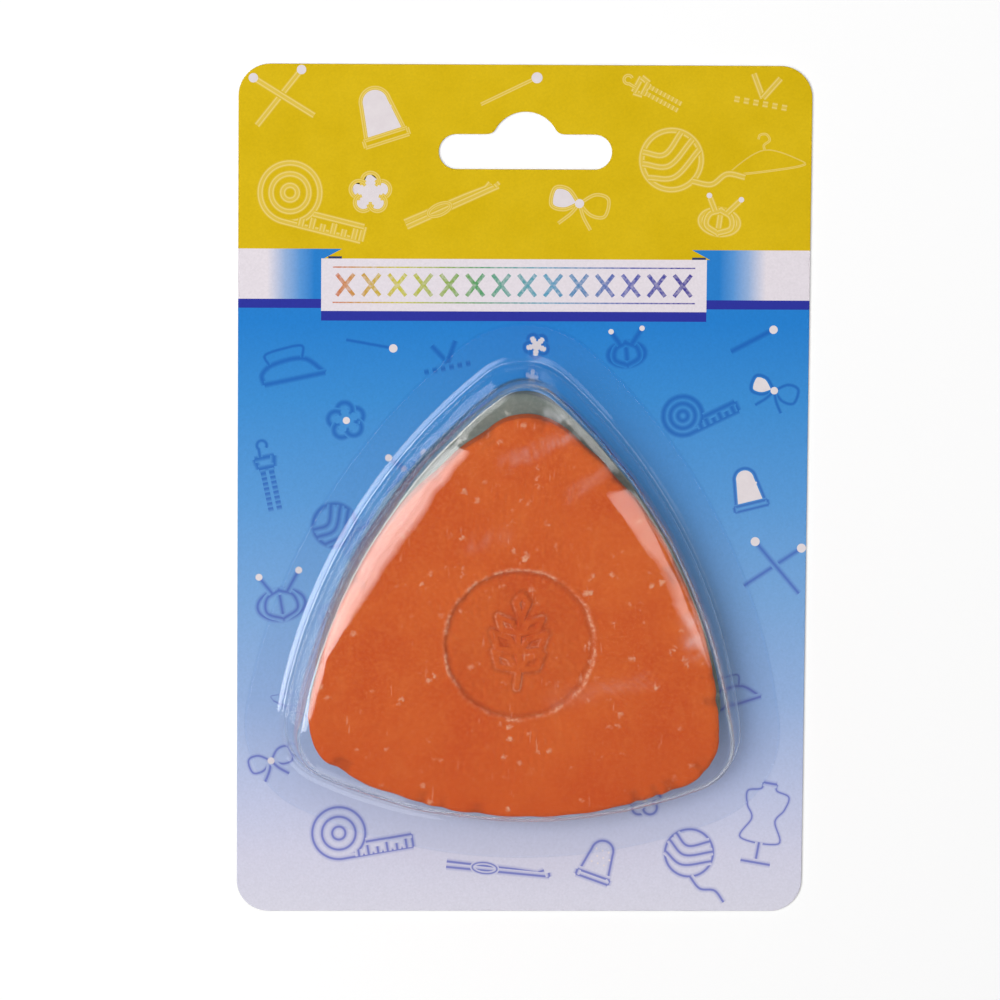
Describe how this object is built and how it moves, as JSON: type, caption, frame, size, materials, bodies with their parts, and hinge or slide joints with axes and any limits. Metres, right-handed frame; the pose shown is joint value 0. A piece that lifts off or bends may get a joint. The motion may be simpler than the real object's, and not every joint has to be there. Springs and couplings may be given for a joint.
{
  "type": "tailors chalk pack",
  "caption": "Triangular tailor's chalk in a clear shell on a hanging card, for marking cloth before cutting and sewing.",
  "frame": {"origin": "middle of the card's back face", "axes": "+Z out of the card's printed front, +Y towards the hang slot, +X to the right seen from the front"},
  "size_m": [0.1, 0.15, 0.0153],
  "materials": {
    "printed_card": "printed and varnished",
    "clear_shell": "clear gloss",
    "orange_chalk": "matt and dusty",
    "grey_green_chalk": "matt and dusty"
  },
  "bodies": {
    "card": {"backing_card": "printed_card"},
    "shell": {"blister_shell": "clear_shell"},
    "upper": {"upper_chalk": "orange_chalk"},
    "lower": {"lower_chalk": "grey_green_chalk"}
  },
  "joints": [
    {"name": "shell_lift", "type": "slide", "parent": "card", "child": "shell", "axis": [0, 0, 1], "range_m": [0, 0.04]},
    {"name": "upper_chalk_shift", "type": "slide", "parent": "card", "child": "upper", "axis": [0, 1, 0], "range_m": [0, 0.0012]},
    {"name": "lower_chalk_shift", "type": "slide", "parent": "card", "child": "lower", "axis": [0, 1, 0], "range_m": [-0.0045, 0.0012]}
  ]
}
